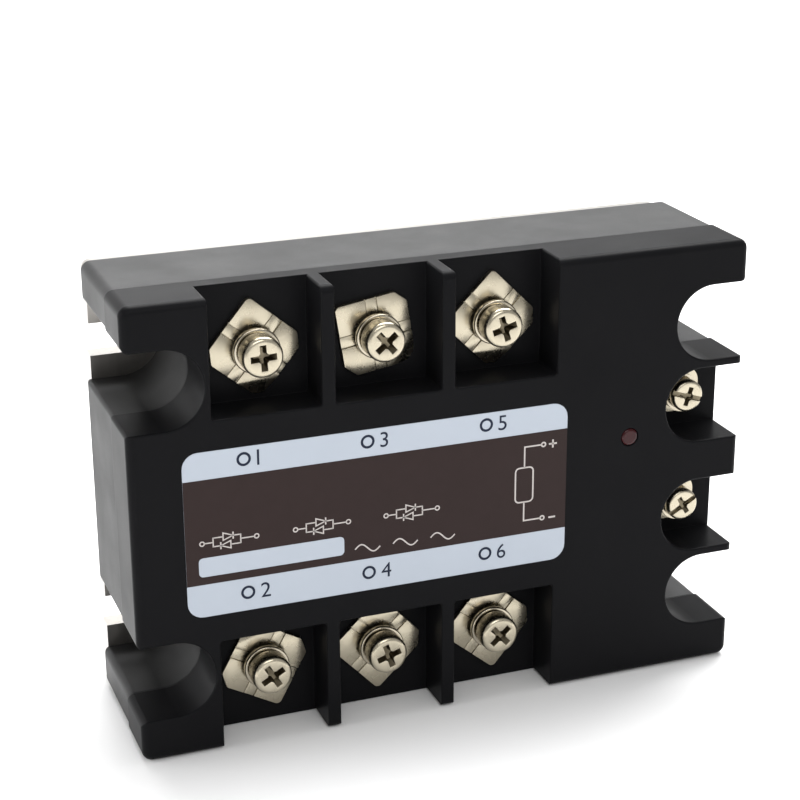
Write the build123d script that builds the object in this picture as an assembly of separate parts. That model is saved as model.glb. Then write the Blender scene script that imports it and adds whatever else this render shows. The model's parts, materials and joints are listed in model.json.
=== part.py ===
from build123d import *
import math
import os

# Three-phase solid state relay, standing on its long edge.
# X runs along the length, +Y points out of the mounting face, +Z is up.
# Depths below are measured from the cover's front face towards the mounting face.

# Housing
length = 104.0
height = 75.0
cover_depth = 10.3
base_depth = 18.05
plate_thickness = 3.5
label_thickness = 0.15
overall_depth = label_thickness + cover_depth + base_depth + plate_thickness
corner_radius = 1.6
front_edge_radius = 1.2
back_edge_radius = 0.8
opening_edge_radius = 0.3
cover_wall = 2.2
base_wall = 3.0
front_wall = 2.0
base_inset = 0.2
seam_groove_width = 0.45
seam_groove_depth = 0.5
lip_thickness = 0.7
lip_height = 1.0
seam_clearance = 0.1

# Mounting notches and the slots behind them
notch_end_inset = 6.0
notch_edge_inset = 13.5
mounting_pitch_x = length - 2 * notch_end_inset
mounting_pitch_z = height - 2 * notch_edge_inset
notch_radius = 6.4
ear_corner_radius = 1.2
band_corner_radius = 0.6
plate_inset = 1.0
plate_corner_radius = 1.5
plate_slot_radius = 2.7

# Output terminal bays: three open upwards, three open downwards
phase_count = 3
bay_width = 17.55
rib_thickness = 2.2
bay_pitch = bay_width + rib_thickness
bay_web = 0.8
row_width = phase_count * bay_width + (phase_count - 1) * rib_thickness
middle_bay_x = row_width / 2 + bay_web + notch_radius - mounting_pitch_x / 2
bay_reach = 19.0
bay_floor = 7.2
bay_floor_thickness = 2.0
bay_corner_radius = 0.5
rib_corner_radius = 0.35
output_screw_inset = 10.6

# Output terminals
output_nut_side = 7.0
output_nut_thickness = 3.0
nut_clearance = 0.15
tab_thickness = 1.0
tab_overlap = 0.5
tab_width = output_nut_side + 2 * tab_overlap
riser_width = 5.4
riser_gap = 0.95
riser_offset = output_nut_side / 2 + nut_clearance + riser_gap
foot_length = 8.0
busbar_clearance = 0.1
boss_wall = 1.6
boss_floor_thickness = 1.8
output_shank_radius = 1.95
thread_clearance = 0.05
output_shank_length = 8.0
output_head_radius = 3.25
output_head_height = 3.0
head_edge_radius = 0.45
output_cross_span = 4.2
output_cross_width = 1.0
output_cross_depth = 1.5
clamp_side = 11.8
clamp_thickness = 1.0
clamp_fold_clip = 1.2
clamp_side_clip = 1.85
clamp_back_clip = 0.5
clamp_corner_radius = 0.6
clamp_fold_start = 5.2
clamp_fold_angle = 18.0
clamp_channel_width = 1.85
clamp_channel_depth = 0.3
washer_hole_clearance = 0.3
spring_outer_radius = 3.7
spring_thickness = 0.95
spring_free_height = 2.0
spring_gap_deg = 14.0
washer_touch_gap = 0.01

# Input terminals, in two recesses open to the right end
recess_radius = 6.4
recess_center_inset = 7.5
ridge_thickness = 1.33
recess_pitch = mounting_pitch_z - 2 * (notch_radius + ridge_thickness + recess_radius)
recess_floor = 8.7
recess_mouth_radius = 0.6
input_nut_side = 5.5
input_nut_thickness = 2.2
input_plate_overlap = 1.05
input_plate_side = input_nut_side + 2 * input_plate_overlap
input_plate_thickness = 0.5
input_plate_corner = 2.6
input_leg_width = 2.0
input_shank_radius = 1.45
input_shank_length = 6.0
input_head_radius = 2.75
input_head_height = 1.6
input_cross_span = 3.4
input_cross_width = 0.85
input_cross_depth = 1.0
input_slot_depth = 0.6
flat_washer_radius = 3.6
flat_washer_thickness = 0.5
input_spring_outer_radius = 3.2
input_spring_thickness = 0.9
input_spring_free_height = 1.8

# Status lamp and rating label
lamp_x = length / 2 - 20.5
lamp_z = height / 2 + 6.0
lamp_radius = 1.5
lamp_clearance = 0.05
lamp_flange = 0.25
lamp_flange_thickness = 0.9
lamp_body_length = 4.6
lamp_proud = 0.12
lamp_lead_side = 0.45
lamp_lead_spacing = 1.27
label_width = 63.9
label_end_gap = 8.2
label_edge_gap = 4.8
label_height = height - 2 * (bay_reach + label_edge_gap)
label_center_x = label_end_gap + (label_width - length) / 2
label_radius = 2.5

# Circuit board and power parts inside
board_depth = 16.0
board_thickness = 1.6
board_end_clearance = 0.5
board_ledge_width = 2.4
board_ledge_thickness = 2.4
board_ledge_length = 24.0
substrate_width = 12.4
substrate_overrun = 0.7
substrate_height = height - 2 * (output_screw_inset + riser_offset - substrate_overrun)
substrate_thickness = 0.6
chip_side = 8.0
chip_thickness = 0.4
chip_spacing = 10.5
optocoupler_size = (7.1, 3.5, 6.4)
gate_pin_radius = 0.4
potting_depth = 6.0
resistor_size = (3.2, 0.6, 1.6)
transistor_size = (4.5, 4.0, 3.6)

# Screws that hold the base plate to the housing
plate_screw_x = length / 2 - 7.0
plate_screw_shank_radius = 1.4
plate_screw_head_radius = 2.8
plate_screw_length = 9.0
plate_screw_head_sink = 0.1
plate_screw_clearance = 0.02
plate_boss_radius = 3.4
plate_boss_length = 8.35

# Turn of each clamp washer and screw about its own axis, anticlockwise from the front
clamp_turns = {"l1": -40.0, "l2": 9.0, "l3": -45.0, "t1": 151.0, "t2": 133.0, "t3": 140.0}
screw_turns = {"l1": 3.0, "l2": 40.0, "l3": 16.0, "t1": 30.0, "t2": 17.0, "t3": 42.0}
input_turns = {"plus": -18.0, "minus": 30.0}

housing_depth = cover_depth + base_depth
middle_z = height / 2
tolerance = 1e-3
past = 1.0


def depth_y(depth):
    """Y of a depth measured from the cover's front face."""
    return label_thickness - overall_depth / 2 + depth


def prism(profile, front, back):
    """Solid between two depths from a profile drawn as (X, Z)."""
    return extrude(Plane.XZ.offset(-depth_y(back)) * profile, amount=back - front)


def block(low_x, high_x, front, back, low_z, high_z):
    """Box between two corners, its middle pair of limits given as depths."""
    center = Pos((low_x + high_x) / 2, (low_z + high_z) / 2)
    return prism(center * Rectangle(high_x - low_x, high_z - low_z), front, back)


def post(x, z, radius, front, back):
    """Round bar along the depth."""
    return prism(Pos(x, z) * Circle(radius), front, back)


def square_post(x, z, side, front, back):
    """Square bar along the depth."""
    return prism(Pos(x, z) * Rectangle(side, side), front, back)


def signs():
    """The four (end, edge) pairs of the mounting notches."""
    return [(end, edge) for end in (-1, 1) for edge in (-1, 1)]


def notch_profile(end, edge, radius):
    """Slot open to one end, its round end at the mounting hole's place."""
    x = end * mounting_pitch_x / 2
    z = middle_z + edge * mounting_pitch_z / 2
    reach = length / 2 + past - mounting_pitch_x / 2
    mouth = Pos(x + end * reach / 2, z) * Rectangle(reach, 2 * radius)
    return Pos(x, z) * Circle(radius) + mouth


def corners_at(profile, x_places, z_places):
    """The profile's corners whose X and Z are both among the places given."""
    found = []
    for vertex in profile.vertices():
        on_x = any(abs(vertex.X - x) < tolerance for x in x_places)
        on_z = any(abs(vertex.Y - z) < tolerance for z in z_places)
        if on_x and on_z:
            found.append(vertex)
    return found


def mirrored(values):
    """Each value on both sides of the middle height."""
    return [middle_z + side * value for side in (-1, 1) for value in values]


def rounded_notches(profile, half_length, radius):
    """The profile less its four notches, with the corners of their mouths rounded."""
    for end, edge in signs():
        profile -= notch_profile(end, edge, radius)
    ends = (-half_length, half_length)
    ear_corners = corners_at(profile, ends, mirrored([mounting_pitch_z / 2 + radius]))
    profile = fillet(ear_corners, ear_corner_radius)
    band_corners = corners_at(profile, ends, mirrored([mounting_pitch_z / 2 - radius]))
    return fillet(band_corners, band_corner_radius)


def housing_profile(inset):
    """Outline of a shell, drawn in from the housing's full outline."""
    half_length = length / 2 - inset
    plain = Pos(0, middle_z) * Rectangle(2 * half_length, height - 2 * inset)
    plain = fillet(plain.vertices(), corner_radius)
    return rounded_notches(plain, half_length, notch_radius + inset)


def cavity_profile(wall):
    """Inside of a shell: full height between the notches, and a band between them to the ends."""
    core_half = mounting_pitch_x / 2 - notch_radius - wall
    band_half_height = mounting_pitch_z / 2 - notch_radius - wall
    core = Pos(0, middle_z) * Rectangle(2 * core_half, height - 2 * wall)
    band = Pos(0, middle_z) * Rectangle(length - 2 * wall, 2 * band_half_height)
    return core + band


def bay_x(phase):
    """Center of a terminal bay, counted from the left."""
    return middle_bay_x + (phase - (phase_count - 1) / 2) * bay_pitch


def output_terminals():
    """Name, X, Z and the direction of the open edge for each output terminal."""
    rows = []
    for phase in range(phase_count):
        rows.append((f"l{phase + 1}", bay_x(phase), height - output_screw_inset, 1))
    for phase in range(phase_count):
        rows.append((f"t{phase + 1}", bay_x(phase), output_screw_inset, -1))
    return rows


def input_terminals():
    """Name, X and Z for each input terminal."""
    x = length / 2 - recess_center_inset
    return [("plus", x, middle_z + recess_pitch / 2), ("minus", x, middle_z - recess_pitch / 2)]


def bay_profile(x, edge, margin):
    """A bay's rectangle, open past its edge of the housing."""
    reach = bay_reach + margin + past
    z = middle_z + edge * (middle_z + past - reach / 2)
    return Pos(x, z) * Rectangle(bay_width + 2 * margin, reach)


def recess_profile(z):
    """An input recess: a slot open to the right end, with rounded lips."""
    x = length / 2 - recess_center_inset
    reach = recess_center_inset + past
    mouth = Pos(x + reach / 2, z) * Rectangle(reach, 2 * recess_radius)
    return Pos(x, z) * Circle(recess_radius) + mouth


def recess_block_profile(margin):
    """The solid part of the cover that carries both input recesses."""
    low_x = length / 2 - recess_center_inset - recess_radius - cover_wall - margin
    half_height = recess_pitch / 2 + recess_radius + cover_wall + margin
    width = length / 2 - low_x
    return Pos(low_x + width / 2, middle_z) * Rectangle(width, 2 * half_height)


# Depths of the terminal stacks, worked out from the floors they stand on
clamp_front = bay_floor - clamp_thickness
output_head_back = clamp_front - spring_free_height
output_nut_front = bay_floor + tab_thickness
output_nut_back = output_nut_front + output_nut_thickness
output_boss_back = output_nut_back + boss_floor_thickness
output_boss_side = output_nut_side + 2 * (nut_clearance + boss_wall)
input_plate_front = recess_floor - input_plate_thickness
flat_washer_front = input_plate_front - flat_washer_thickness
input_head_back = flat_washer_front - input_spring_free_height
input_nut_back = recess_floor + input_nut_thickness
input_boss_back = input_nut_back + boss_floor_thickness
input_boss_side = input_nut_side + 2 * (nut_clearance + boss_wall / 2)
leg_offset = input_plate_side / 2
board_back = board_depth + board_thickness
substrate_front = housing_depth - substrate_thickness
chip_front = substrate_front - chip_thickness
foot_front = substrate_front - tab_thickness
nut_pocket_side = output_nut_side + 2 * nut_clearance
input_pocket_side = input_nut_side + 2 * nut_clearance
shank_hole_radius = output_shank_radius + washer_hole_clearance
input_hole_radius = input_shank_radius + washer_hole_clearance / 2


def span(first, second):
    """Two values in rising order."""
    return (min(first, second), max(first, second))


def tab_shape(x, z, edge, front, back, margin):
    """Tab under an output screw, with the neck that leads to the riser."""
    half_tab = tab_width / 2 + margin
    shape = square_post(x, z, 2 * half_tab, front, back)
    neck_end = z - edge * (riser_offset + tab_thickness + margin)
    low_z, high_z = span(z, neck_end)
    half_riser = riser_width / 2 + margin
    return shape + block(x - half_riser, x + half_riser, front, back, low_z, high_z)


def riser_shape(x, z, edge, front, back, margin):
    """Upright strip that leads from the tab to the substrate."""
    half = riser_width / 2 + margin
    near = z - edge * (riser_offset - margin)
    far = z - edge * (riser_offset + tab_thickness + margin)
    low_z, high_z = span(near, far)
    return block(x - half, x + half, front, back, low_z, high_z)


def busbar_foot(x, z, edge):
    """Foot of a busbar, flat on the substrate."""
    half = riser_width / 2
    low_z, high_z = span(z - edge * riser_offset, z - edge * (riser_offset + foot_length))
    return block(x - half, x + half, foot_front, substrate_front, low_z, high_z)


def output_busbar(x, z, edge):
    """Bent strip: tab on the bay's floor, riser, and foot on the substrate."""
    shape = tab_shape(x, z, edge, bay_floor, bay_floor + tab_thickness, 0)
    shape += riser_shape(x, z, edge, bay_floor, substrate_front, 0)
    shape += busbar_foot(x, z, edge)
    return shape - post(x, z, shank_hole_radius, bay_floor - past, output_nut_front + past)


def square_nut(x, z, side, bore_radius, front, back):
    """Square nut with a plain bore at the thread's outer radius."""
    return square_post(x, z, side, front, back) - post(x, z, bore_radius, front - past, back + past)


def clamp_washer(x, z, turn):
    """Square washer with clipped corners, one of them turned down, and four pressed channels."""
    half = clamp_side / 2
    profile = Rectangle(clamp_side, clamp_side)
    profile = chamfer(corners_at(profile, [half], [-half]), clamp_fold_clip)
    profile = chamfer(corners_at(profile, [-half], [half]), clamp_back_clip)
    side_corners = corners_at(profile, [half], [half]) + corners_at(profile, [-half], [-half])
    profile = chamfer(side_corners, clamp_side_clip)
    profile = fillet(profile.vertices(), clamp_corner_radius)
    shape = prism(profile, clamp_front, bay_floor)
    outwards = (Align.MIN, Align.MAX, Align.CENTER)
    over_fold = Box(clamp_side, clamp_side, clamp_side, align=outwards)
    fold_line = Pos(0, depth_y(clamp_front), 0) * Rot(0, 45, 0) * Pos(clamp_fold_start, 0, 0)
    shape -= fold_line * Rot(0, 0, clamp_fold_angle) * over_fold
    channel_back = clamp_front + clamp_channel_depth
    for angle in (0, 90):
        channel = Rot(0, 0, angle) * Rectangle(clamp_side + past, clamp_channel_width)
        shape -= prism(channel, clamp_front - past, channel_back)
    shape -= post(0, 0, shank_hole_radius, clamp_front - past, bay_floor + past)
    return Pos(x, 0, z) * Rot(0, -turn, 0) * shape


def spring_washer(outer_radius, inner_radius, thickness, free_height):
    """Split ring round the depth axis that climbs to its free height over one turn."""
    rise = free_height - thickness - 2 * washer_touch_gap
    width = outer_radius - inner_radius
    mean_radius = (outer_radius + inner_radius) / 2
    turns = 1 - spring_gap_deg / 360
    pitch = rise / turns
    path = Helix(pitch=pitch, height=rise, radius=mean_radius)
    section_plane = Plane(origin=path @ 0, x_dir=(1, 0, 0), z_dir=path % 0)
    ring = sweep(section_plane * Rectangle(width, thickness), path, is_frenet=True)
    upright = Pos(0, 0, thickness / 2 + washer_touch_gap - free_height) * ring
    return Rot(90, 0, 0) * upright


def output_spring_washer(x, z):
    """Spring washer behind an output screw's head."""
    ring = spring_washer(spring_outer_radius, shank_hole_radius, spring_thickness, spring_free_height)
    return Pos(x, depth_y(output_head_back), z) * ring


def input_spring_washer(x, z):
    """Spring washer behind an input screw's head."""
    ring = spring_washer(
        input_spring_outer_radius, input_hole_radius, input_spring_thickness, input_spring_free_height
    )
    return Pos(x, depth_y(input_head_back), z) * ring


def cross_recess(x, z, turn, cross_span, width, front, cross_depth):
    """Phillips recess: two crossed tapering arms with a flared middle."""
    arms = Rectangle(cross_span, width) + Rectangle(width, cross_span)
    arms += Rot(0, 0, 45) * Rectangle(width * 1.5, width * 1.5)
    mouth_plane = Plane.XZ.offset(-depth_y(front))
    recess = extrude(mouth_plane * arms, amount=-cross_depth, taper=9)
    return Pos(x, 0, z) * Rot(0, -turn, 0) * recess


def screw(x, z, head_radius, head_front, head_back, shank_radius, shank_length):
    """Screw with a flat-topped round head."""
    head = post(x, z, head_radius, head_front, head_back)
    rim = head.edges().filter_by(GeomType.CIRCLE).sort_by(Axis.Y)[0]
    head = fillet(rim, head_edge_radius)
    shank = post(x, z, shank_radius, head_back - tolerance, head_back + shank_length)
    tip = shank.edges().filter_by(GeomType.CIRCLE).sort_by(Axis.Y)[-1]
    return head + chamfer(tip, shank_radius / 4)


def output_screw(x, z, turn):
    """Output terminal screw."""
    back = output_head_back
    front = back - output_head_height
    shape = screw(x, z, output_head_radius, front, back, output_shank_radius, output_shank_length)
    cross = cross_recess(x, z, turn, output_cross_span, output_cross_width, front, output_cross_depth)
    return shape - cross


def input_screw(x, z, turn):
    """Input terminal screw, with a slot across its head as well as a cross."""
    back = input_head_back
    front = back - input_head_height
    shape = screw(x, z, input_head_radius, front, back, input_shank_radius, input_shank_length)
    shape -= cross_recess(x, z, turn, input_cross_span, input_cross_width, front, input_cross_depth)
    slot = Rot(0, 0, turn) * Rectangle(3 * input_head_radius, input_cross_width)
    return shape - prism(Pos(x, z) * slot, front - past, front + input_slot_depth)


def input_plate(x, z):
    """Square terminal plate with rounded corners and a leg down to the circuit board."""
    profile = Rectangle(input_plate_side, input_plate_side)
    profile = Pos(x, z) * fillet(profile.vertices(), input_plate_corner)
    shape = prism(profile, input_plate_front, recess_floor)
    leg_x = x - leg_offset
    half_leg = input_leg_width / 2
    shape += block(
        leg_x, leg_x + input_plate_thickness, input_plate_front, board_depth, z - half_leg, z + half_leg
    )
    return shape - post(x, z, input_hole_radius, input_plate_front - past, recess_floor + past)


def rounded_block():
    """The cover's full block, with its outer front edges rounded."""
    plain = Pos(0, middle_z) * Rectangle(length, height)
    plain = fillet(plain.vertices(), corner_radius)
    block_shape = prism(plain, 0, cover_depth)
    front_edges = block_shape.faces().sort_by(Axis.Y)[0].edges()
    return fillet(front_edges, front_edge_radius)


def recessed_profile():
    """Outline of the cover behind the bays, where only the input recesses are cut."""
    profile = housing_profile(0)
    for name, x, z in input_terminals():
        profile -= recess_profile(z)
    lips = mirrored([recess_pitch / 2 - recess_radius, recess_pitch / 2 + recess_radius])
    return fillet(corners_at(profile, [length / 2], lips), recess_mouth_radius)


def comb_profile():
    """Outline of the cover's front, with the bays between their ribs."""
    profile = recessed_profile()
    for name, x, z, edge in output_terminals():
        profile -= bay_profile(x, edge, 0)
    sides = [bay_x(phase) + side * bay_width / 2 for phase in range(phase_count) for side in (-1, 1)]
    profile = fillet(corners_at(profile, sides, mirrored([middle_z - bay_reach])), bay_corner_radius)
    return fillet(corners_at(profile, sides, mirrored([middle_z])), rib_corner_radius)


def top_cover():
    """Front shell with the terminal bays, input recesses and nut bosses."""
    comb = prism(comb_profile(), 0, bay_floor)
    comb = fillet(comb.faces().sort_by(Axis.Y)[0].edges(), opening_edge_radius)
    shape = comb + prism(recessed_profile(), bay_floor, recess_floor)
    shape += prism(housing_profile(0), recess_floor, cover_depth)
    shape &= rounded_block()
    hollow = cavity_profile(cover_wall) - recess_block_profile(0)
    shallow = hollow
    for name, x, z, edge in output_terminals():
        hollow -= bay_profile(x, edge, bay_floor_thickness)
        shallow -= Pos(x, z) * Rectangle(output_boss_side, output_boss_side)
    shape -= prism(hollow, front_wall, cover_depth + past)
    shape -= prism(shallow, bay_floor + bay_floor_thickness, cover_depth + past)
    for name, x, z, edge in output_terminals():
        shape += square_post(x, z, output_boss_side, bay_floor + bay_floor_thickness, output_boss_back)
        shape -= tab_shape(x, z, edge, bay_floor - past, output_nut_front, busbar_clearance)
        shape -= riser_shape(x, z, edge, bay_floor - past, output_boss_back + past, busbar_clearance)
        shape -= square_post(x, z, nut_pocket_side, bay_floor, output_nut_back)
        shape -= post(x, z, shank_hole_radius, bay_floor, output_boss_back + past)
    for name, x, z in input_terminals():
        shape += square_post(x, z, input_boss_side, cover_depth - past, input_boss_back)
        shape -= square_post(x, z, input_pocket_side, recess_floor - past, input_nut_back)
        shape -= post(x, z, input_hole_radius, recess_floor - past, input_boss_back + past)
        low_x = x - leg_offset - busbar_clearance
        high_x = x - leg_offset + input_plate_thickness + busbar_clearance
        half = input_leg_width / 2 + busbar_clearance
        shape -= block(low_x, high_x, recess_floor - past, input_boss_back + past, z - half, z + half)
    return shape - post(lamp_x, lamp_z, lamp_radius + lamp_clearance, -past, front_wall + past)


def boss_web(end, front, back):
    """Rib that ties a base-plate screw boss to the end wall."""
    low_x, high_x = span(end * plate_screw_x, end * (length / 2 - base_wall + past))
    low_z = middle_z - plate_screw_shank_radius
    high_z = middle_z + plate_screw_shank_radius
    return block(low_x, high_x, front, back, low_z, high_z)


def base_housing():
    """Deep rear shell, with the lip that locates the cover and the base-plate screw bosses."""
    half_length = length / 2 - base_inset
    plain = Pos(0, middle_z) * Rectangle(2 * half_length, height - 2 * base_inset)
    plain = fillet(plain.vertices(), corner_radius)
    shape = prism(plain, cover_depth, housing_depth)
    back_edges = shape.faces().sort_by(Axis.Y)[-1].edges()
    shape = fillet(back_edges, back_edge_radius)
    shape &= prism(housing_profile(base_inset), cover_depth, housing_depth)
    rim = housing_profile(0) - housing_profile(seam_groove_depth)
    shape -= prism(rim, cover_depth - past, cover_depth + seam_groove_width)
    shape -= prism(cavity_profile(base_wall), cover_depth - past, housing_depth + past)
    lip_inset = base_wall - lip_thickness
    lip = cavity_profile(lip_inset) - cavity_profile(base_wall) - recess_block_profile(seam_clearance)
    shape += prism(lip, cover_depth - lip_height + seam_clearance, cover_depth + seam_groove_width)
    inner_end = length / 2 - base_wall
    for end in (-1, 1):
        low_x, high_x = span(end * (inner_end - board_ledge_width), end * (inner_end + past))
        low_z, high_z = middle_z - board_ledge_length / 2, middle_z + board_ledge_length / 2
        shape += block(low_x, high_x, board_back, board_back + board_ledge_thickness, low_z, high_z)
        boss_front = housing_depth - plate_boss_length
        x = end * plate_screw_x
        boss = post(x, middle_z, plate_boss_radius, boss_front, housing_depth)
        shape += boss + boss_web(end, boss_front, housing_depth)
        pilot_radius = plate_screw_shank_radius + plate_screw_clearance
        shape -= post(x, middle_z, pilot_radius, boss_front - past, housing_depth + past)
    return shape


def base_plate():
    """Metal plate that carries the heat to the mounting surface, slotted at both ends."""
    half_length = length / 2 - plate_inset
    plain = Pos(0, middle_z) * Rectangle(2 * half_length, height - 2 * plate_inset)
    plain = fillet(plain.vertices(), plate_corner_radius)
    for end, edge in signs():
        plain -= notch_profile(end, edge, plate_slot_radius)
    shape = prism(plain, housing_depth, housing_depth + plate_thickness)
    for end in (-1, 1):
        shape -= plate_screw(end, plate_screw_clearance, past)
    return shape


def plate_screw(end, margin, overrun):
    """Countersunk screw through the base plate, or its hole when given a margin."""
    x = end * plate_screw_x
    back = housing_depth + plate_thickness - plate_screw_head_sink
    shank_radius = plate_screw_shank_radius + margin
    head_radius = plate_screw_head_radius + margin
    head_height = head_radius - shank_radius
    shank = post(x, middle_z, shank_radius, back - plate_screw_length, back - head_height / 2)
    cone_place = Pos(x, depth_y(back - head_height / 2), middle_z) * Rot(-90, 0, 0)
    cone = cone_place * Cone(shank_radius, head_radius, head_height)
    shape = shank + cone
    if overrun:
        shape += post(x, middle_z, head_radius, back - tolerance, back + overrun)
    return shape


def status_lamp():
    """Lamp body with its dome, flange and two leads."""
    shape = post(lamp_x, lamp_z, lamp_radius, -lamp_proud, lamp_body_length)
    rim = shape.edges().filter_by(GeomType.CIRCLE).sort_by(Axis.Y)[0]
    shape = fillet(rim, lamp_radius / 3)
    flange_back = front_wall + lamp_clearance + lamp_flange_thickness
    shape += post(lamp_x, lamp_z, lamp_radius + lamp_flange, front_wall + lamp_clearance, flange_back)
    for side in (-1, 1):
        x = lamp_x + side * lamp_lead_spacing / 2
        shape += square_post(x, lamp_z, lamp_lead_side, lamp_body_length - tolerance, board_depth)
    return shape


def rating_label():
    """Thin label with rounded corners on the cover's front face."""
    profile = Pos(label_center_x, middle_z) * Rectangle(label_width, label_height)
    return prism(fillet(profile.vertices(), label_radius), -label_thickness, 0)


def circuit_board():
    """Control board across the middle band of the housing."""
    half_x = length / 2 - base_wall - board_end_clearance
    half_z = mounting_pitch_z / 2 - notch_radius - base_wall - board_end_clearance
    return block(-half_x, half_x, board_depth, board_back, middle_z - half_z, middle_z + half_z)


def board_part(x, z, size):
    """Moulded part on the front of the circuit board; size is width, depth and height."""
    width, thickness, tall = size
    part_front = board_depth - thickness
    return block(x - width / 2, x + width / 2, part_front, board_depth, z - tall / 2, z + tall / 2)


def chip_places(phase):
    """X and Z of a phase's two thyristor chips."""
    return [(bay_x(phase), middle_z + side * chip_spacing / 2) for side in (-1, 1)]


def thyristor_pair(phase):
    """Two chips on one substrate."""
    chips = [square_post(x, z, chip_side, chip_front, substrate_front) for x, z in chip_places(phase)]
    return Compound(children=chips)


def gate_pins(phase):
    """Two pins from the circuit board down to a phase's chips."""
    pins = [post(x, z, gate_pin_radius, board_back, chip_front) for x, z in chip_places(phase)]
    return Compound(children=pins)


def substrate(phase):
    """Ceramic tile under one phase."""
    x = bay_x(phase)
    half = substrate_width / 2
    low_z, high_z = middle_z - substrate_height / 2, middle_z + substrate_height / 2
    return block(x - half, x + half, substrate_front, housing_depth, low_z, high_z)


def potting_compound():
    """Resin over the power parts, poured round everything that stands in it."""
    front = housing_depth - potting_depth
    shape = prism(cavity_profile(base_wall), front, housing_depth)
    for phase in range(phase_count):
        shape -= substrate(phase)
        for chip_x, chip_z in chip_places(phase):
            shape -= square_post(chip_x, chip_z, chip_side, chip_front, housing_depth)
            shape -= post(chip_x, chip_z, gate_pin_radius, front - past, housing_depth)
    for name, x, z, edge in output_terminals():
        shape -= riser_shape(x, z, edge, front - past, substrate_front, 0)
        shape -= busbar_foot(x, z, edge)
    for end in (-1, 1):
        x = end * plate_screw_x
        shape -= post(x, middle_z, plate_boss_radius, front - past, housing_depth + past)
        shape -= boss_web(end, front - past, housing_depth + past)
    return shape


def build_parts():
    """Every sub-part under its node name."""
    parts = {
        "base_plate": base_plate(),
        "base_plate_screws": Compound(children=[plate_screw(end, 0, 0) for end in (-1, 1)]),
        "base_housing": base_housing(),
        "top_cover": top_cover(),
        "rating_label": rating_label(),
        "status_lamp": status_lamp(),
        "circuit_board": circuit_board(),
        "potting_compound": potting_compound(),
    }
    for name, x, z, edge in output_terminals():
        parts[f"busbar_{name}"] = output_busbar(x, z, edge)
        parts[f"clamp_washer_{name}"] = clamp_washer(x, z, clamp_turns[name])
        parts[f"spring_washer_{name}"] = output_spring_washer(x, z)
        parts[f"terminal_screw_{name}"] = output_screw(x, z, screw_turns[name])
    bore = output_shank_radius + thread_clearance
    nuts = []
    for name, x, z, edge in output_terminals():
        nuts.append(square_nut(x, z, output_nut_side, bore, output_nut_front, output_nut_back))
    parts["output_nuts"] = Compound(children=nuts)
    input_bore = input_shank_radius + thread_clearance
    input_nuts = []
    for name, x, z in input_terminals():
        parts[f"input_plate_{name}"] = input_plate(x, z)
        washer = post(x, z, flat_washer_radius, flat_washer_front, input_plate_front)
        parts[f"input_flat_washer_{name}"] = washer - post(x, z, input_hole_radius, 0, recess_floor)
        parts[f"input_spring_washer_{name}"] = input_spring_washer(x, z)
        parts[f"input_screw_{name}"] = input_screw(x, z, input_turns[name])
        input_nuts.append(square_nut(x, z, input_nut_side, input_bore, recess_floor, input_nut_back))
    parts["input_nuts"] = Compound(children=input_nuts)
    resistors = []
    for phase in range(phase_count):
        x = bay_x(phase)
        parts[f"substrate_{phase + 1}"] = substrate(phase)
        parts[f"thyristor_pair_{phase + 1}"] = thyristor_pair(phase)
        parts[f"gate_pins_{phase + 1}"] = gate_pins(phase)
        parts[f"optocoupler_{phase + 1}"] = board_part(x, middle_z, optocoupler_size)
        for side in (-1, 1):
            resistors.append(board_part(x, middle_z + side * chip_spacing, resistor_size))
    parts["gate_resistors"] = Compound(children=resistors)
    parts["input_transistor"] = board_part(lamp_x, middle_z - chip_spacing / 2, transistor_size)
    return parts


os.makedirs("parts", exist_ok=True)
for node, shape in build_parts().items():
    export_step(shape, f"parts/{node}.step")
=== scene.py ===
import json
import math

import bmesh
import bpy
from mathutils import Matrix, Vector


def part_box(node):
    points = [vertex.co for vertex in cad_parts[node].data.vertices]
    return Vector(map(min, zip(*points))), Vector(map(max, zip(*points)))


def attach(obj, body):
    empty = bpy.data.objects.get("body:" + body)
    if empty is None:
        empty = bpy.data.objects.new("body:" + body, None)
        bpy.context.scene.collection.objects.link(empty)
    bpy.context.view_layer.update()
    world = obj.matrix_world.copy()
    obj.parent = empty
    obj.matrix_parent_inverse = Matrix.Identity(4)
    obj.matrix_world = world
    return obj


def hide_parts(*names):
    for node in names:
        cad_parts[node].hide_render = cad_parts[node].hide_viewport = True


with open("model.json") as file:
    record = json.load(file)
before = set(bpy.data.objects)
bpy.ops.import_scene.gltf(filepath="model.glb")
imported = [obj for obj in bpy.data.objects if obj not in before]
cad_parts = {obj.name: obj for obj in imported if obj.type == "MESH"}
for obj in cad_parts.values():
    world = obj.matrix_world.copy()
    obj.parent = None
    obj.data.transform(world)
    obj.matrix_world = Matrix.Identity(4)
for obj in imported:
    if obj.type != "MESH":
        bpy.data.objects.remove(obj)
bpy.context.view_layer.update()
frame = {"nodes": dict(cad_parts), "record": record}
nodes = frame["nodes"]
record = frame["record"]
slots_of = {row["node"]: row["material_slot"] for row in record["subparts"]}
body_of = {node: body for body, members in record["behaviour"]["bodies"].items() for node in members}

MM = 0.001
OUTPUTS = ("l1", "l2", "l3", "t1", "t2", "t3")

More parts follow.
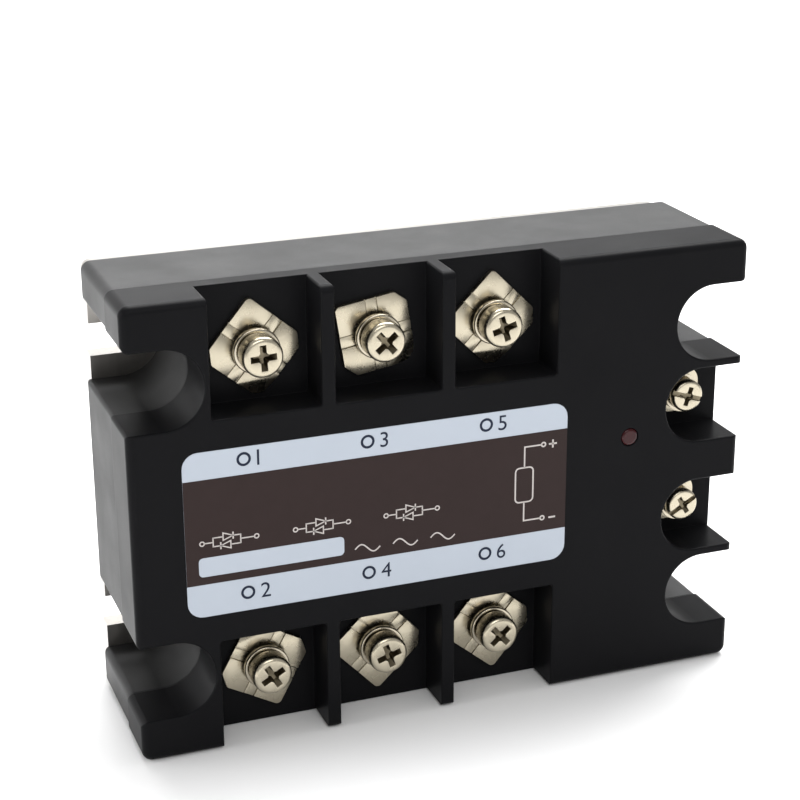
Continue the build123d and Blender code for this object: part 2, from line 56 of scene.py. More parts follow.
# Sizes in millimetres
OUTPUT_SCREW = {"head_radius": 3.25, "rim": 0.75, "head_height": 3.0, "shank_radius": 1.95}
OUTPUT_RECESS = {"span": 4.2, "width": 1.0, "deep": 1.5}
INPUT_SCREW = {"head_radius": 2.75, "rim": 0.5, "head_height": 1.6, "shank_radius": 1.45}
INPUT_RECESS = {"span": 3.4, "width": 0.85, "deep": 1.0}
INPUT_SLOT_DEPTH = 0.6
CUTTER_RISE = 0.2
HEAD_BACK_CHAMFER = 0.12
TIP_CHAMFER = 0.5
PLATE_HEAD_RADIUS = 2.8
PLATE_SHANK_RADIUS = 1.4
PLATE_RECESS = {"span": 3.2, "width": 0.8, "deep": 1.3}
SPRING_OUTER_RADIUS = 3.7
SPRING_THICKNESS = 0.95
SPRING_GAP_DEGREES = 14.0
WASHER_HOLE_RADIUS = 2.25
CLAMP_SIDE = 11.8
CLAMP_CORNER_RADIUS = 0.6
CLAMP_CLIPS = (1.2, 1.85, 0.5, 1.85)
CLAMP_FOLD_START = 5.2
CLAMP_FOLD_DEGREES = 22
CHANNEL_WIDTH = 1.85
CHANNEL_DEPTH = 0.12
GROOVE_WIDTH = 0.17
GROOVE_DEPTH = 0.34
LABEL_CORNER_RADIUS = 2.5
BAND_FROM_BOTTOM = 5.5
BAND_FROM_TOP = 4.5
NUMERAL_HEIGHT = 2.5
FINE_LINE = 0.2
GATE_LINE = 0.22
BOLD_LINE = 0.25
SIGN_LINE = 0.3
RING_LINE = 0.4

# Depths of the label's layers behind its front face, in millimetres
FILM_FRONT = 0.03
BAND_FRONT = 0.02
PRINT_FRONT = 0.01
BAND_PRINT_BACK = 0.025
FILM_PRINT_BACK = 0.035

# Turn of each clamp washer and screw about its own axis, in degrees, anticlockwise from the front
CLAMP_TURNS = {"l1": -40, "l2": 9, "l3": -45, "t1": 151, "t2": 133, "t3": 140}
SCREW_TURNS = {"l1": 3, "l2": 40, "l3": 16, "t1": 30, "t2": 17, "t3": 42}
INPUT_TURNS = {"plus": -18, "minus": 30}


# Camera and room

def make_camera():
    """Camera at the reference view: in front of the relay, to its left and above it."""
    data = bpy.data.cameras.new("camera")
    data.sensor_width = 36
    data.lens = 87.95
    data.clip_start = 0.01
    camera = bpy.data.objects.new("camera", data)
    forward = Vector((0.3284, 0.8796, -0.3443)).normalized()
    right = Vector((0.93620, -0.35144, -0.00475)).normalized()
    up = right.cross(forward)
    turn = Matrix((right, up, -forward)).transposed().to_4x4()
    camera.matrix_world = Matrix.Translation((-0.10823, -0.28253, 0.15971)) @ turn
    bpy.context.collection.objects.link(camera)
    bpy.context.scene.camera = camera


def make_stage():
    """Plain pale floor that curves up into a backdrop behind the relay."""
    half_width = 1.6
    front_y = -1.2
    bend_y = 0.55
    radius = 0.35
    steps = 24
    profile = [(front_y, 0.0)]
    for step in range(steps + 1):
        angle = math.pi / 2 * step / steps
        profile.append((bend_y + radius * math.sin(angle), radius * (1 - math.cos(angle))))
    profile.append((bend_y + radius, 1.8))
    mesh = bpy.data.meshes.new("floor")
    points = [(x, y, z - 0.0002) for x in (-half_width, half_width) for y, z in profile]
    count = len(profile)
    faces = [(i, count + i, count + i + 1, i + 1) for i in range(count - 1)]
    mesh.from_pydata(points, [], faces)
    mesh.shade_smooth()
    floor = bpy.data.objects.new("floor", mesh)
    bpy.context.collection.objects.link(floor)
    floor.data.materials.append(floor_material())


def area_light(name, place, aim, size, power):
    """Softbox at a place, facing a point."""
    data = bpy.data.lights.new(name, "AREA")
    data.shape = "RECTANGLE"
    data.size, data.size_y = size
    data.energy = power
    light = bpy.data.objects.new(name, data)
    light.location = place
    direction = Vector(aim) - Vector(place)
    light.rotation_euler = direction.to_track_quat("-Z", "Y").to_euler()
    bpy.context.collection.objects.link(light)


def make_lights():
    """Large soft key from above and behind, a wide fill on the left and a weak one in front."""
    middle = (0.0, 0.0, 0.035)
    area_light("key", (0.25, 0.35, 0.80), middle, (0.8, 0.7), 16.0)
    area_light("left_fill", (-0.85, 0.15, 0.30), middle, (0.7, 0.6), 4.0)
    area_light("front_fill", (-0.10, -0.80, 0.70), middle, (0.6, 0.4), 3.0)
    world = bpy.data.worlds.new("room")
    world.use_nodes = True
    background = world.node_tree.nodes["Background"]
    background.inputs["Color"].default_value = (1.0, 1.0, 1.0, 1.0)
    background.inputs["Strength"].default_value = 0.50
    bpy.context.scene.world = world


# Materials

class Shader:
    """One principled material whose nodes are added by short calls."""

    def __init__(self, name, **sockets):
        self.material = bpy.data.materials.new(name)
        self.material.use_nodes = True
        self.tree = self.material.node_tree
        self.shader = self.tree.nodes["Principled BSDF"]
        for socket, value in sockets.items():
            label = socket.replace("_", " ").title().replace("Ior", "IOR")
            if isinstance(value, tuple):
                value = (*value, 1.0)
            self.shader.inputs[label].default_value = value
        self.place = self.tree.nodes.new("ShaderNodeTexCoord").outputs["Object"]

    def add(self, kind, links=None, **settings):
        """New node; links feed its inputs, settings set its values or properties."""
        node = self.tree.nodes.new("ShaderNode" + kind)
        for key, value in settings.items():
            if hasattr(node, key):
                setattr(node, key, value)
            else:
                node.inputs[key.replace("_", " ").title()].default_value = value
        for key, source in (links or {}).items():
            self.tree.links.new(source, node.inputs[key])
        return node

    def noise(self, scale, detail=2.0, stretch=None):
        """Noise over the object's own coordinates, its scale in cells per metre."""
        place = self.place
        if stretch:
            place = self.add("Mapping", {"Vector": place}, Scale=stretch).outputs["Vector"]
        node = self.add("TexNoise", {"Vector": place}, Scale=scale, Detail=detail)
        return node.outputs["Fac"]

    def spread(self, source, low, high, start=0.3, end=0.7):
        """Source remapped from start..end to low..high."""
        node = self.add("MapRange", {"Value": source})
        node.inputs["From Min"].default_value = start
        node.inputs["From Max"].default_value = end
        node.inputs["To Min"].default_value = low
        node.inputs["To Max"].default_value = high
        return node.outputs["Result"]

    def mix_color(self, factor, first, second):
        """Two colours mixed by a factor."""
        node = self.tree.nodes.new("ShaderNodeMix")
        node.data_type = "RGBA"
        self.tree.links.new(factor, node.inputs["Factor"])
        for socket, value in (("A", first), ("B", second)):
            target = [s for s in node.inputs if s.name == socket and s.type == "RGBA"][0]
            if isinstance(value, tuple):
                target.default_value = (*value, 1.0)
            else:
                self.tree.links.new(value, target)
        return [s for s in node.outputs if s.type == "RGBA"][0]

    def bump(self, height, depth, strength=1.0, under=None):
        """Bump of a real depth in metres."""
        links = {"Height": height}
        if under:
            links["Normal"] = under
        return self.add("Bump", links, Strength=strength, Distance=depth).outputs["Normal"]

    def eased(self, radius):
        """Normal that turns over each edge as if it had that radius in millimetres."""
        return self.add("Bevel", Radius=radius * MM, samples=6).outputs["Normal"]

    def feed(self, socket, source):
        """Link a source to one of the shader's sockets."""
        self.tree.links.new(source, self.shader.inputs[socket])


def floor_material():
    m = Shader("floor_white", roughness=0.9, specular_ior_level=0.1)
    m.feed("Base Color", m.mix_color(m.noise(3.0), (0.93, 0.93, 0.93), (0.95, 0.95, 0.95)))
    return m.material


def housing_plastic():
    """Dark grey shell with a fine spark-eroded grain."""
    m = Shader("housing_plastic", specular_ior_level=0.30)
    grain = m.noise(5200.0, 3.0)
    cloud = m.noise(90.0, 4.0)
    m.feed("Base Color", m.mix_color(cloud, (0.005, 0.005, 0.0055), (0.009, 0.009, 0.0095)))
    m.feed("Roughness", m.spread(cloud, 0.46, 0.56))
    m.feed("Normal", m.bump(grain, 0.00004, 0.5, m.eased(0.25)))
    return m.material


def cover_plastic():
    """Black shell, smoother and a little glossier."""
    m = Shader("cover_plastic", specular_ior_level=0.035)
    grain = m.noise(3000.0, 3.0)
    cloud = m.noise(70.0, 4.0)
    m.feed("Base Color", m.mix_color(cloud, (0.006, 0.006, 0.0068), (0.009, 0.009, 0.0098)))
    m.feed("Roughness", m.spread(cloud, 0.30, 0.38))
    m.feed("Normal", m.bump(grain, 0.00002, 0.25, m.eased(0.3)))
    return m.material


def plate_metal():
    """Nickel-plated heat plate with faint rolling marks."""
    m = Shader("plate_metal", metallic=1.0)
    rolled = m.noise(900.0, 3.0, (1.0, 12.0, 0.04))
    m.feed("Base Color", m.mix_color(rolled, (0.34, 0.325, 0.30), (0.43, 0.41, 0.385)))
    m.feed("Roughness", m.spread(rolled, 0.26, 0.36))
    m.feed("Normal", m.bump(rolled, 0.00002, 0.3))
    return m.material


def plated(name, dark, bright, low, high):
    """Plated metal with soft cloudiness and fine handling marks."""
    m = Shader(name, metallic=1.0)
    cloud = m.noise(450.0, 4.0)
    marks = m.noise(2400.0, 2.0, (1.0, 1.0, 6.0))
    m.feed("Base Color", m.mix_color(cloud, dark, bright))
    m.feed("Roughness", m.spread(cloud, low, high))
    m.feed("Normal", m.bump(marks, 0.00001, 0.35))
    return m.material


def nickel():
    return plated("nickel", (0.44, 0.395, 0.30), (0.52, 0.47, 0.365), 0.24, 0.32)


def spring_steel():
    return plated("spring_steel", (0.36, 0.32, 0.25), (0.52, 0.47, 0.37), 0.14, 0.24)


def screw_steel():
    return plated("screw_steel", (0.17, 0.175, 0.185), (0.24, 0.245, 0.255), 0.25, 0.35)


def label_film():
    """Pale satin film."""
    m = Shader("label_film", specular_ior_level=0.25)
    cloud = m.noise(120.0, 3.0)
    m.feed("Base Color", m.mix_color(cloud, (0.43, 0.475, 0.54), (0.46, 0.505, 0.57)))
    m.feed("Roughness", m.spread(cloud, 0.34, 0.42))
    m.feed("Normal", m.bump(m.noise(2500.0), 0.00001, 0.2))
    return m.material


def lamp_red():
    """Dark red tinted lens."""
    m = Shader("lamp_red", specular_ior_level=0.25)
    depth = m.noise(900.0, 2.0)
    m.feed("Base Color", m.mix_color(depth, (0.022, 0.002, 0.003), (0.040, 0.003, 0.004)))
    m.feed("Roughness", m.spread(depth, 0.12, 0.2))
    return m.material


def board_laminate():
    """Green solder mask over faint tracks."""
    m = Shader("board_laminate", specular_ior_level=0.5)
    tracks = m.add("TexBrick", {"Vector": m.place}, Scale=260.0).outputs["Fac"]
    m.feed("Base Color", m.mix_color(tracks, (0.02, 0.16, 0.06), (0.03, 0.24, 0.09)))
    m.feed("Roughness", m.spread(m.noise(500.0), 0.3, 0.4))
    m.feed("Normal", m.bump(tracks, 0.00003, 0.5))
    return m.material


def moulded(name, dark, bright, low, high, scale):
    """Moulded or cast material with a fine grain."""
    m = Shader(name, specular_ior_level=0.4)
    grain = m.noise(scale, 3.0)
    m.feed("Base Color", m.mix_color(grain, dark, bright))
    m.feed("Roughness", m.spread(grain, low, high))
    m.feed("Normal", m.bump(grain, 0.00002, 0.4))
    return m.material


def material_table():
    """The material of every slot in the record."""
    return {
        "housing_plastic": housing_plastic(),
        "cover_plastic": cover_plastic(),
        "plate_metal": plate_metal(),
        "nickel": nickel(),
        "spring_steel": spring_steel(),
        "screw_steel": screw_steel(),
        "label_film": label_film(),
        "lamp_red": lamp_red(),
        "board_laminate": board_laminate(),
        "black_moulding": moulded("black_moulding", (0.01,) * 3, (0.02,) * 3, 0.4, 0.5, 4000.0),
        "ceramic": moulded("ceramic", (0.80, 0.79, 0.76), (0.88, 0.87, 0.85), 0.45, 0.6, 3000.0),
        "silicon": moulded("silicon", (0.08, 0.08, 0.11), (0.12, 0.12, 0.16), 0.12, 0.2, 1500.0),
        "resin": moulded("resin", (0.02,) * 3, (0.035,) * 3, 0.3, 0.45, 400.0),
    }


def printing_ink(name, dark, bright):
    """Screen-printed ink with a slightly uneven film."""
    m = Shader(name, specular_ior_level=0.1)
    cloud = m.noise(400.0, 3.0)
    m.feed("Base Color", m.mix_color(cloud, dark, bright))
    m.feed("Roughness", m.spread(cloud, 0.34, 0.42))
    return m.material


materials = material_table()
# Darker brown metal for the faces inside driver recesses: painted shade, not the screws' own colour.
recess_shade_metal = plated("recess_shade_metal", (0.10, 0.085, 0.055), (0.20, 0.17, 0.12), 0.25, 0.4)
inks = {
    "band_ink": printing_ink("band_ink", (0.026, 0.016, 0.015), (0.031, 0.020, 0.019)),
    "line_ink": printing_ink("line_ink", (0.50, 0.46, 0.44), (0.56, 0.52, 0.50)),
    "number_ink": printing_ink("number_ink", (0.013, 0.018, 0.035), (0.018, 0.024, 0.045)),
}


def paint_nodes():
    """Each CAD node takes the material of its slot."""
    for name, obj in nodes.items():
        obj.data.materials.clear()
        obj.data.materials.append(materials[slots_of[name]])


# Mesh helpers

def make_mesh(name, points, faces):
    """Mesh from points in millimetres."""
    mesh = bpy.data.meshes.new(name)
    mesh.from_pydata([[value * MM for value in point] for point in points], [], faces)
    return mesh


def finish_normals(mesh, degrees=32.0):
    """Outward faces, shaded smooth up to a sharp angle."""
    work = bmesh.new()
    work.from_mesh(mesh)
    bmesh.ops.recalc_face_normals(work, faces=work.faces)
    work.to_mesh(mesh)
    work.free()
    mesh.shade_smooth()
    mesh.set_sharp_from_angle(angle=math.radians(degrees))
    return mesh


def place_piece(name, mesh, slot, body, place=(0.0, 0.0, 0.0), stands_for=()):
    """New piece of the relay: its finish, the CAD nodes it stands for and the body it rides on."""
    piece = bpy.data.objects.new(name, mesh)
    piece.location = place
    bpy.context.collection.objects.link(piece)
    if mesh.materials:
        mesh.materials[0] = materials[slot]
    else:
        mesh.materials.append(materials[slot])
    if stands_for:
        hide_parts(*stands_for)
    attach(piece, body)
    return piece


def lathe(name, profile, steps=72):
    """Solid turned round the depth axis from (radius, depth) points that start and end on the axis."""
    points = [(0.0, profile[0][1], 0.0), (0.0, profile[-1][1], 0.0)]
    rings = profile[1:-1]
    for step in range(steps):
        angle = 2 * math.pi * step / steps
        points += [(r * math.cos(angle), depth, r * math.sin(angle)) for r, depth in rings]
    faces = []
    count = len(rings)
    for step in range(steps):
        here = 2 + step * count
        there = 2 + (step + 1) % steps * count
        faces.append((0, here, there))
        faces += [(here + i, here + i + 1, there + i + 1, there + i) for i in range(count - 1)]
        faces.append((1, there + count - 1, here + count - 1))
    return make_mesh(name, points, faces)


def loft(name, sections):
    """Solid through equal closed sections, capped at both ends."""
    count = len(sections[0])
    points = [point for section in sections for point in section]
    faces = [tuple(range(count)), tuple(range(len(points) - 1, len(points) - 1 - count, -1))]
    for step in range(len(sections) - 1):
        here = step * count
        there = here + count
        for i in range(count):
            after = (i + 1) % count
            faces.append((here + i, here + after, there + after, there + i))
    return make_mesh(name, points, faces)


def plate(name, outline, front, back):
    """Flat plate from an outline of (x, z) points, between two depths."""
    return loft(name, [[(x, depth, z) for x, z in outline] for depth in (front, back)])


def rectangle(low_x, high_x, low_z, high_z):
    """Outline of a rectangle, from its lower left corner round to its upper left."""
    return [(low_x, low_z), (high_x, low_z), (high_x, high_z), (low_x, high_z)]


def box_mesh(name, width, tall, front, back, x=0.0, z=0.0):
    """Cutting block about a point."""
    half_x = width / 2
    half_z = tall / 2
    return plate(name, rectangle(x - half_x, x + half_x, z - half_z, z + half_z), front, back)


def rounded(corners, radius, steps=6):
    """Outline with each corner rounded by an arc."""
    outline = []
    for index, (x, z) in enumerate(corners):
        before = Vector(corners[index - 1]) - Vector((x, z))
        after = Vector(corners[(index + 1) % len(corners)]) - Vector((x, z))
        half = before.angle(after) / 2
        middle = (before.normalized() + after.normalized()).normalized()
        centre = Vector((x, z)) + middle * (radius / math.sin(half))
        start = Vector((x, z)) + before.normalized() * (radius / math.tan(half)) - centre
        end = Vector((x, z)) + after.normalized() * (radius / math.tan(half)) - centre
        sweep = start.angle_signed(end)
        for step in range(steps + 1):
            turn = -sweep * step / steps
            cosine, sine = math.cos(turn), math.sin(turn)
            outline.append((
                centre.x + cosine * start.x - sine * start.y,
                centre.y + sine * start.x + cosine * start.y,
            ))
    return outline


def carve(mesh, cutters, bevel_width):
    """Mesh less the cutters, with its sharp edges rounded."""
    work = bpy.data.objects.new("work", mesh)
    bpy.context.collection.objects.link(work)
    tools = [work]
    for cutter_mesh in cutters:
        finish_normals(cutter_mesh)
        cutter = bpy.data.objects.new("cutter", cutter_mesh)
        bpy.context.collection.objects.link(cutter)
        tools.append(cutter)
        cut = work.modifiers.new("cut", "BOOLEAN")
        cut.operation = "DIFFERENCE"
        cut.solver = "EXACT"
        cut.object = cutter
    bevel = work.modifiers.new("bevel", "BEVEL")
    bevel.width = bevel_width * MM
    bevel.segments = 2
    bevel.limit_method = "ANGLE"
    bevel.angle_limit = math.radians(30)
    graph = bpy.context.evaluated_depsgraph_get()
    made = bpy.data.meshes.new_from_object(work.evaluated_get(graph))
    for tool in tools:
        bpy.data.objects.remove(tool)
    return made


# Terminal hardware

def axis_of(node):
    """X and Z of a node's middle, in metres."""
    low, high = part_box(node)
    return (low[0] + high[0]) / 2, (low[2] + high[2]) / 2


def rounded_rim(radius, corner, steps=6):
    """Profile points of a rounded rim whose front is at zero."""
    arc = []
    for step in range(steps + 1):
        angle = math.pi / 2 * step / steps
        arc.append((radius - corner + corner * math.sin(angle), corner * (1 - math.cos(angle))))
    return arc


def cross_section(span, width, flare, turn, depth):
    """Outline of a cross recess at one depth, with small flats in its inner corners."""
    half, side = span / 2, width / 2
    quarter = [(half, -side), (half, side), (side + flare, side), (side, side + flare)]
    points = []
    for number in range(4):
        angle = math.radians(turn + 90 * number)
        cosine, sine = math.cos(angle), math.sin(angle)
        points += [(cosine * x - sine * z, depth, sine * x + cosine * z) for x, z in quarter]
    return points


def cross_cutter(turn, span, width, deep):
    """Tapering cross that cuts a driver recess."""
    mouth = cross_section(span * 1.04, width * 1.1, 0.3, turn, -CUTTER_RISE)
    bottom = cross_section(span * 0.62, width * 0.6, 0.2, turn, deep)
    return loft("recess", [mouth, bottom])


def screw_mesh(name, length, cutters, head_radius, rim, head_height, shank_radius):
    """Screw along +Y with its head's front at zero."""
    profile = [(0.0, 0.0)] + rounded_rim(head_radius, rim)
    profile += [(head_radius, head_height - HEAD_BACK_CHAMFER)]
    profile += [(head_radius - HEAD_BACK_CHAMFER, head_height)]
    profile += [(shank_radius, head_height), (shank_radius, length - TIP_CHAMFER)]
    profile += [(shank_radius - TIP_CHAMFER, length)]
    profile += [(0.0, length)]
    head = finish_normals(lathe(name, profile))
    return finish_normals(carve(head, cutters, 0.07), 40.0)


def make_output_screws():
    """Pan-head terminal screws with a cross recess."""
    for name, turn in SCREW_TURNS.items():
        node = f"terminal_screw_{name}"
        low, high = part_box(node)
        x, z = axis_of(node)
        length = (high[1] - low[1]) / MM
        mesh = screw_mesh(node, length, [cross_cutter(turn, **OUTPUT_RECESS)], **OUTPUT_SCREW)
        paint_recess_shade(mesh, 2.4)
        place_piece(f"screw_{name}", mesh, slots_of[node], body_of[node], (x, low[1], z), [node])


def make_input_screws():
    """Smaller screws whose heads carry a slot as well as a cross."""
    for name, turn in INPUT_TURNS.items():
        node = f"input_screw_{name}"
        low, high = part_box(node)
        x, z = axis_of(node)
        length = (high[1] - low[1]) / MM
        slot = box_mesh("slot", 8.0, INPUT_RECESS["width"], -CUTTER_RISE, INPUT_SLOT_DEPTH)
        slot.transform(Matrix.Rotation(math.radians(-turn), 4, "Y"))
        cutters = [cross_cutter(turn, **INPUT_RECESS), slot]
        mesh = screw_mesh(node, length, cutters, **INPUT_SCREW)
        paint_recess_shade(mesh, 1.9)
        place_piece(f"input_screw_piece_{name}", mesh, slots_of[node], body_of[node], (x, low[1], z), [node])


def make_plate_screws():
    """Countersunk screws in the mounting face."""
    node = "base_plate_screws"
    low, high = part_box(node)
    length = (high[1] - low[1]) / MM
    radius, shank = PLATE_HEAD_RADIUS, PLATE_SHANK_RADIUS
    profile = [(0.0, 0.0), (radius - 0.2, 0.0), (radius, 0.15), (shank, radius - shank + 0.15)]
    profile += [(shank, length - TIP_CHAMFER), (shank - 0.4, length), (0.0, length)]
    for name, x in (("left", low[0] + radius * MM), ("right", high[0] - radius * MM)):
        body = finish_normals(lathe(node, profile))
        mesh = finish_normals(carve(body, [cross_cutter(20, **PLATE_RECESS)], 0.05), 40.0)
        paint_recess_shade(mesh, 1.8)
        mesh.transform(Matrix.Rotation(math.pi, 4, "Z"))
        place = (x, high[1], (low[2] + high[2]) / 2)
        place_piece(f"plate_screw_{name}", mesh, slots_of[node], body_of[node], place, [node])


def spring_ring(name, outer, inner, thickness, free_height, steps=90):
    """Split ring with rounded edges that climbs once round the depth axis."""
    half_width = (outer - inner) / 2
    half_thick = thickness / 2
    section = rounded(rectangle(-half_width, half_width, -half_thick, half_thick), 0.22, 3)
    climb = free_height - thickness
    sections = []
    for step in range(steps + 1):
        share = step / steps
        angle = math.radians(SPRING_GAP_DEGREES / 2 + (360 - SPRING_GAP_DEGREES) * share)
        middle = (outer + inner) / 2
        depth = half_thick + climb * share
        sections.append([
            ((middle + u) * math.cos(angle), depth + v, (middle + u) * math.sin(angle)) for u, v in section
        ])
    return finish_normals(loft(name, sections), 40.0)


def make_spring_washers():
    """Split washers behind the output screws' heads."""
    for name in OUTPUTS:
        node = f"spring_washer_{name}"
        low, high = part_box(node)
        x, z = axis_of(node)
        free = (high[1] - low[1]) / MM
        mesh = spring_ring(node, SPRING_OUTER_RADIUS, WASHER_HOLE_RADIUS, SPRING_THICKNESS, free)
        place_piece(f"split_ring_{name}", mesh, slots_of[node], body_of[node], (x, low[1], z), [node])


def clamp_outline(side, clips, radius):
    """Square outline with each corner cut back by its own amount."""
    half = side / 2
    fold, right, back, left = clips
    corners = [
        (half - fold, -half), (half, -half + fold), (half, half - right), (half - right, half),
        (-half + back, half), (-half, half - back), (-half, -half + left), (-half + left, -half),
    ]
    return rounded(corners, radius, 3)


def clamp_mesh(name, side, front, back):
    """Clamp washer about its axis: pressed channels, hole, eased edges and one corner turned down."""
    outline = clamp_outline(side, CLAMP_CLIPS, CLAMP_CORNER_RADIUS)
    channel_back = front + CHANNEL_DEPTH
    radius = WASHER_HOLE_RADIUS
    hole = [(0.0, front - 1), (radius, front - 1), (radius, back + 1), (0.0, back + 1)]
    cutters = [
        box_mesh("channel", side + 2, CHANNEL_WIDTH, front - 1, channel_back),
        box_mesh("channel", CHANNEL_WIDTH, side + 2, front - 1, channel_back),
        finish_normals(lathe("hole", hole)),
    ]
    groove_back = front + GROOVE_DEPTH
    for offset in (-CHANNEL_WIDTH / 2, CHANNEL_WIDTH / 2):
        cutters.append(box_mesh("groove", side + 2, GROOVE_WIDTH, front - 1, groove_back, z=offset))
        cutters.append(box_mesh("groove", GROOVE_WIDTH, side + 2, front - 1, groove_back, x=offset))
    mesh = carve(finish_normals(plate(name, outline, front, back)), cutters, 0.04)
    work = bmesh.new()
    work.from_mesh(mesh)
    corner_way = Vector((1.0, 0.0, -1.0)).normalized()
    fold_start = CLAMP_FOLD_START * MM
    for share in (0.0, 0.25, 0.5, 0.8):
        everything = work.verts[:] + work.edges[:] + work.faces[:]
        at = corner_way * (fold_start + share * MM)
        bmesh.ops.bisect_plane(work, geom=everything, plane_co=at, plane_no=corner_way, dist=1e-7)
    thick = (back - front) * MM
    for vertex in work.verts:
        past_fold = vertex.co.dot(corner_way) - fold_start
        if past_fold > 0:
            soft = past_fold ** 2 / (past_fold + 0.5 * MM)
            drop = soft * math.tan(math.radians(CLAMP_FOLD_DEGREES))
            lift = (back * MM - vertex.co.y) / thick
            vertex.co.y += lift * min(drop, 0.85 * thick)
    work.to_mesh(mesh)
    work.free()
    return finish_normals(mesh, 35.0)


def make_clamp_washers():
    """Square clamp washers under the output screws, each turned its own way."""
    for name, turn in CLAMP_TURNS.items():
        node = f"clamp_washer_{name}"
        low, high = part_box(node)
        screw_x, screw_z = axis_of(f"terminal_screw_{name}")
        thick = (high[1] - low[1]) / MM
        mesh = clamp_mesh(node, CLAMP_SIDE, 0.0, thick)
        mesh.transform(Matrix.Rotation(math.radians(-turn), 4, "Y"))
        place = (screw_x, low[1], screw_z)
        place_piece(f"clamp_{name}", mesh, slots_of[node], body_of[node], place, [node])


# Rating label

def ribbon(points, width, front, back, closed=False):
    """Points and faces of a flat stroke along (x, z) points."""
    way = [Vector(point) for point in points]
    count = len(way)
    made = []
    for index, here in enumerate(way):
        before = way[index - 1] if index or closed else None
        after = way[(index + 1) % count] if index < count - 1 or closed else None
        first = (here - before).normalized() if before else (after - here).normalized()
        second = (after - here).normalized() if after else first
        middle = (first + second).normalized()
        side = Vector((-middle.y, middle.x)) * (width / 2 / max(0.4, middle.dot(first)))
        for depth in (front, back):
            for sign in (1, -1):
                place = here + side * sign
                made.append((place.x, depth, place.y))
    faces = []
    for index in range(count if closed else count - 1):
        a = 4 * index
        b = 4 * ((index + 1) % count)
        faces += [(a, a + 1, b + 1, b), (a + 2, b + 2, b + 3, a + 3)]
        faces += [(a, b, b + 2, a + 2), (a + 1, a + 3, b + 3, b + 1)]
    if not closed:
        last = 4 * (count - 1)
        faces += [(0, 2, 3, 1), (last, last + 1, last + 3, last + 2)]
    return made, faces


def strokes_mesh(name, strokes, front, back):
    """One mesh from many strokes, each (points, width, closed)."""
    points, faces = [], []
    for path, width, closed in strokes:
        more_points, more_faces = ribbon(path, width, front, back, closed)
        start = len(points)
        points += more_points
        faces += [tuple(start + i for i in face) for face in more_faces]
    return finish_normals(make_mesh(name, points, faces))


def ring_path(x, z, radius, steps=20):
    """Points round a small circle."""
    return [
        (x + radius * math.cos(2 * math.pi * i / steps), z + radius * math.sin(2 * math.pi * i / steps))
        for i in range(steps)
    ]


def sine_path(x, z, length, tall, steps=24):
    """Points along one period of a sine wave."""
    return [(x + length * i / steps, z + tall * math.sin(2 * math.pi * i / steps)) for i in range(steps + 1)]


def shifted(path, x, z):
    """Path moved by x and z."""
    return [(px + x, pz + z) for px, pz in path]


def thyristor_pair(x, z):
    """Two thyristors in opposite directions, between two leads."""
    strokes = []
    for side in (1, -1):
        level = z + 0.72 * side
        arrow = [(x + 1.0 * side, level), (x - 0.6 * side, level + 0.62), (x - 0.6 * side, level - 0.62)]
        strokes.append((arrow, FINE_LINE, True))
        strokes.append(([(x + 1.0 * side, level - 0.6), (x + 1.0 * side, level + 0.6)], GATE_LINE, False))
        strokes.append(([(x - 2.2, level), (x - 0.6, level)], FINE_LINE, False))
        strokes.append(([(x + 0.6, level), (x + 2.2, level)], FINE_LINE, False))
    for end in (-2.2, 2.2):
        strokes.append(([(x + end, z - 0.82), (x + end, z + 0.82)], FINE_LINE, False))
    return strokes


def band_strokes(low_x, low_z):
    """Line drawing on the dark band, about the label's lower left corner."""
    strokes = []
    for phase in range(3):
        x = 6.6 + 15.0 * phase
        z = 12.4
        strokes += thyristor_pair(x, z)
        strokes.append(([(x - 2.2, z), (x - 3.6, z)], FINE_LINE, False))
        strokes.append(([(x + 2.2, z), (x + 4.4, z)], FINE_LINE, False))
        strokes.append((ring_path(x - 3.95, z, 0.35), FINE_LINE, True))
        strokes.append((ring_path(x + 4.75, z, 0.35), FINE_LINE, True))
        strokes.append((sine_path(27.4 + 6.4 * phase, 7.4, 4.2, 0.7), GATE_LINE, False))
    strokes.append((rounded(rectangle(54.9, 58.0, 11.1, 17.1), 0.7, 4), BOLD_LINE, True))
    strokes.append(([(56.45, 17.1), (56.45, 20.66), (59.4, 20.66)], BOLD_LINE, False))
    strokes.append(([(56.45, 11.1), (56.45, 7.8), (59.4, 7.8)], BOLD_LINE, False))
    for level in (20.66, 7.8):
        strokes.append((ring_path(59.75, level, 0.35), BOLD_LINE, True))
    strokes.append(([(60.7, 20.6), (62.1, 20.6)], SIGN_LINE, False))
    strokes.append(([(61.4, 19.9), (61.4, 21.3)], SIGN_LINE, False))
    strokes.append(([(60.9, 7.7), (62.1, 7.7)], SIGN_LINE, False))
    return [(shifted(path, low_x, low_z), width, closed) for path, width, closed in strokes]


def numeral_mesh(text, size, x, z, front, back):
    """Numeral with its lower left corner at a point."""
    curve = bpy.data.curves.new("numeral", "FONT")
    curve.body = text
    curve.size = 1.0
    curve.extrude = 0.5
    letter = bpy.data.objects.new("numeral", curve)
    bpy.context.collection.objects.link(letter)
    mesh = bpy.data.meshes.new_from_object(letter.evaluated_get(bpy.context.evaluated_depsgraph_get()))
    bpy.data.objects.remove(letter)
    low_x = min(v.co.x for v in mesh.vertices)
    low_y = min(v.co.y for v in mesh.vertices)
    tall = max(v.co.y for v in mesh.vertices) - low_y
    scale = size / tall
    for vertex in mesh.vertices:
        across = x + (vertex.co.x - low_x) * scale
        upward = z + (vertex.co.y - low_y) * scale
        depth = front if vertex.co.z > 0 else back
        vertex.co = (across * MM, depth * MM, upward * MM)
    return finish_normals(mesh)


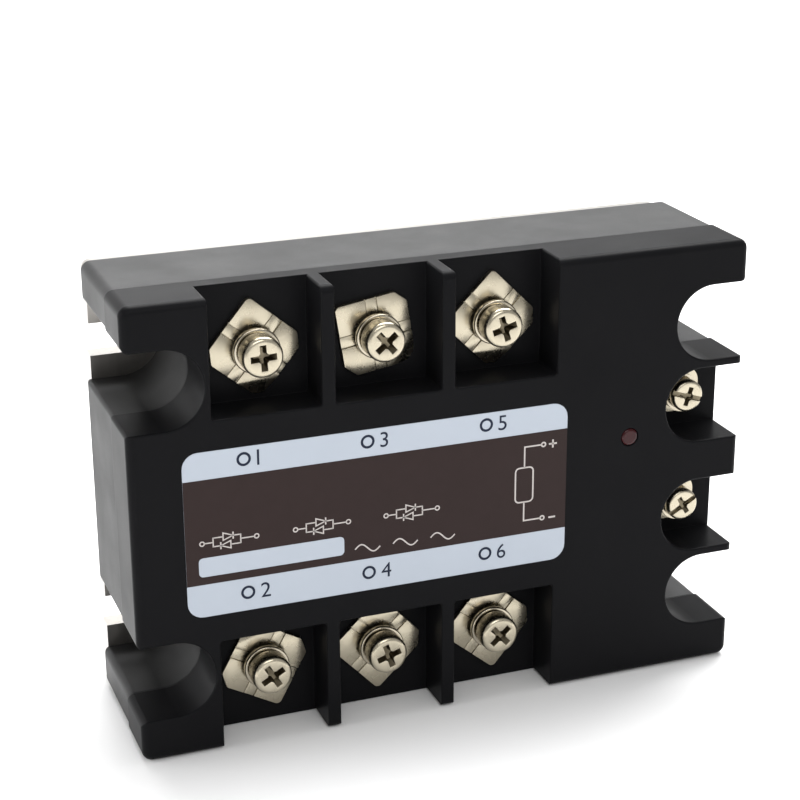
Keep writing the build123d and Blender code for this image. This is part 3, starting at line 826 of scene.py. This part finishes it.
def make_label():
    """Film with a dark band, terminal numbers and a generic line drawing, in thin layers."""
    low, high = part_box("rating_label")
    left, right = low[0] / MM, high[0] / MM
    bottom, top = low[2] / MM, high[2] / MM
    front, back = low[1] / MM, high[1] / MM
    outline = rounded(rectangle(left, right, bottom, top), LABEL_CORNER_RADIUS)
    film = finish_normals(plate("film", outline, front + FILM_FRONT, back))
    place_piece("label_film", film, "label_film", "relay_body", stands_for=["rating_label"])
    band_corners = rectangle(left, right, bottom + BAND_FROM_BOTTOM, top - BAND_FROM_TOP)
    band = finish_normals(plate("band", band_corners, front + BAND_FRONT, front + FILM_PRINT_BACK))
    paint_print(place_piece("label_band", band, "label_film", "relay_body"), "band_ink")
    panel_outline = rounded(rectangle(left + 2.0, left + 25.6, bottom + 6.8, bottom + 10.0), 0.7, 4)
    panel = finish_normals(plate("panel", panel_outline, front + PRINT_FRONT, front + BAND_PRINT_BACK))
    place_piece("label_panel", panel, "label_film", "relay_body")
    lines = strokes_mesh("lines", band_strokes(left, bottom), front + PRINT_FRONT, front + BAND_PRINT_BACK)
    paint_print(place_piece("label_lines", lines, "label_film", "relay_body"), "line_ink")
    print_front, print_back = front + PRINT_FRONT, front + FILM_PRINT_BACK
    for row, numbers in ((24.15, "135"), (1.8, "246")):
        for column, number in enumerate(numbers):
            x = left + 8.6 + 20.0 * column
            z = bottom + row
            name = f"label_number_{number}"
            mesh = numeral_mesh(number, NUMERAL_HEIGHT, x + 3.2, z, print_front, print_back)
            paint_print(place_piece(name, mesh, "label_film", "relay_body"), "number_ink")
            ring = (ring_path(x + 1.1, z + NUMERAL_HEIGHT / 2, 0.95), RING_LINE, True)
            sign = strokes_mesh("sign", [ring], print_front, print_back)
            paint_print(place_piece(f"label_sign_{number}", sign, "label_film", "relay_body"), "number_ink")


def paint_print(piece, ink):
    """Piece takes a printing ink in place of its slot's own material."""
    piece.data.materials.clear()
    piece.data.materials.append(inks[ink])


def paint_recess_shade(mesh, reach):
    """Faces inside a driver recess take a darker brown metal: painted shade in the recess."""
    mesh.materials.clear()
    mesh.materials.append(None)
    mesh.materials.append(recess_shade_metal)
    # Faces deep inside the cross recess get the painted-shade metal.
    for face in mesh.polygons:
        place = face.center / MM
        if math.hypot(place.x, place.z) < reach and 0.08 < place.y < 1.7:
            face.material_index = 1


make_camera()
make_stage()
make_lights()
paint_nodes()
make_output_screws()
make_input_screws()
make_plate_screws()
make_spring_washers()
make_clamp_washers()
make_label()
bpy.context.scene.view_settings.view_transform = "Standard"
